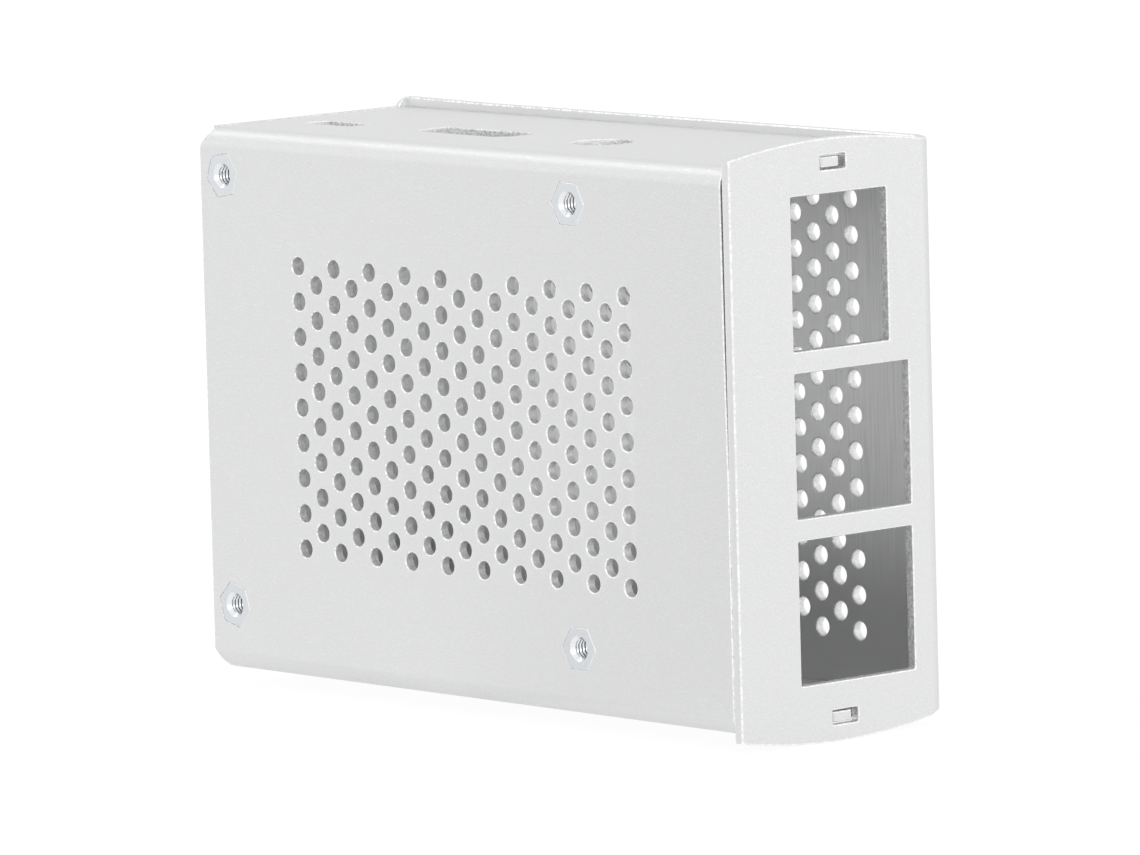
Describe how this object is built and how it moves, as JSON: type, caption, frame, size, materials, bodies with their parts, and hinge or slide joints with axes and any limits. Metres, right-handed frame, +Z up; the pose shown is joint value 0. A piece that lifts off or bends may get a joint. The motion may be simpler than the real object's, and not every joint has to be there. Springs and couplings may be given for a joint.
{
  "type": "single board computer case",
  "caption": "Folded sheet metal case for a credit-card-size computer board: vented tray and cover, port openings, jack windows and threaded standoffs.",
  "frame": {"origin": "middle of the bounding box's lower face; the case stands on its plain long side", "axes": "+X from the card end to the jack end, +Y from the base plate to the cover, +Z up to the wall with the ports"},
  "size_m": [0.0878, 0.0312, 0.0659],
  "materials": {
    "tray_sheet": "fine matt silver, bead-blasted and anodised",
    "cover_sheet": "fine matt silver, bead-blasted and anodised",
    "standoff_steel": "bright zinc plate",
    "screw_steel": "nickel plate"
  },
  "bodies": {
    "root": {"base_tray": "tray_sheet", "top_cover": "cover_sheet", "standoff_card_end_port_side": "standoff_steel", "standoff_jack_end_port_side": "standoff_steel", "standoff_card_end_plain_side": "standoff_steel", "standoff_jack_end_plain_side": "standoff_steel", "board_screw_card_end_port_side": "screw_steel", "board_screw_jack_end_port_side": "screw_steel", "board_screw_card_end_plain_side": "screw_steel", "board_screw_jack_end_plain_side": "screw_steel"}
  },
  "joints": []
}
